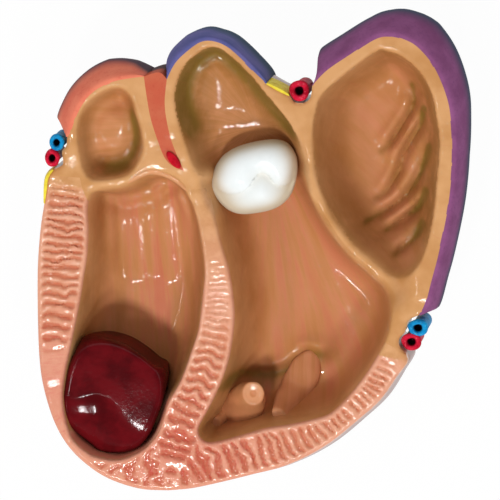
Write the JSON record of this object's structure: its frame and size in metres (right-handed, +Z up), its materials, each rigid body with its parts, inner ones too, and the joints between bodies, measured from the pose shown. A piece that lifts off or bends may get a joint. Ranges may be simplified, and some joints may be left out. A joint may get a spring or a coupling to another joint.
{
  "type": "human heart anatomy model",
  "caption": "Half of a human heart cut open for teaching, lying on its back, with open chambers and two loose inserts that lift out.",
  "frame": {"origin": "middle of the box around the model, on the flat underside that it lies on", "axes": "+Z up out of the cut section face, +Y towards the base of the heart, away from the apex, +X towards the left atrium"},
  "size_m": [0.1172, 0.1298, 0.0426],
  "materials": {
    "chamber_paint": "gloss",
    "septum_paint": "gloss",
    "coral_paint": "gloss",
    "blue_paint": "gloss",
    "purple_paint": "gloss",
    "muscle_paint": "gloss",
    "ring_paint": "gloss",
    "node_red": "gloss",
    "vein_blue": "gloss",
    "artery_red": "gloss",
    "fat_yellow": "gloss",
    "clot_maroon": "gloss",
    "valve_white": "gloss"
  },
  "bodies": {
    "root": {"right_atrium_wall": "chamber_paint", "right_ventricle_wall": "chamber_paint", "left_ventricle_wall": "chamber_paint", "outflow_wall": "chamber_paint", "left_atrium_wall": "chamber_paint", "atrial_septum": "septum_paint", "coral_skin": "coral_paint", "blue_skin": "blue_paint", "purple_skin": "purple_paint", "left_wall_strip": "muscle_paint", "apex_strip": "muscle_paint", "septum_strip": "muscle_paint", "right_wall_strip": "muscle_paint", "valve_ring": "ring_paint", "conduction_node": "node_red", "papillary_stump": "ring_paint", "papillary_long": "ring_paint", "papillary_small": "ring_paint", "left_vein": "vein_blue", "left_artery": "artery_red", "top_artery": "artery_red", "right_vein": "vein_blue", "right_artery": "artery_red", "left_fat_pad": "fat_yellow", "top_fat_pad": "fat_yellow"},
    "clot": {"clot": "clot_maroon"},
    "aortic_valve": {"aortic_valve": "valve_white"}
  },
  "joints": [
    {"name": "clot_lift", "type": "slide", "parent": "root", "child": "clot", "axis": [0, 0, 1], "range_m": [0, 0.045]},
    {"name": "valve_lift", "type": "slide", "parent": "root", "child": "aortic_valve", "axis": [0, 0, 1], "range_m": [0, 0.035]}
  ]
}
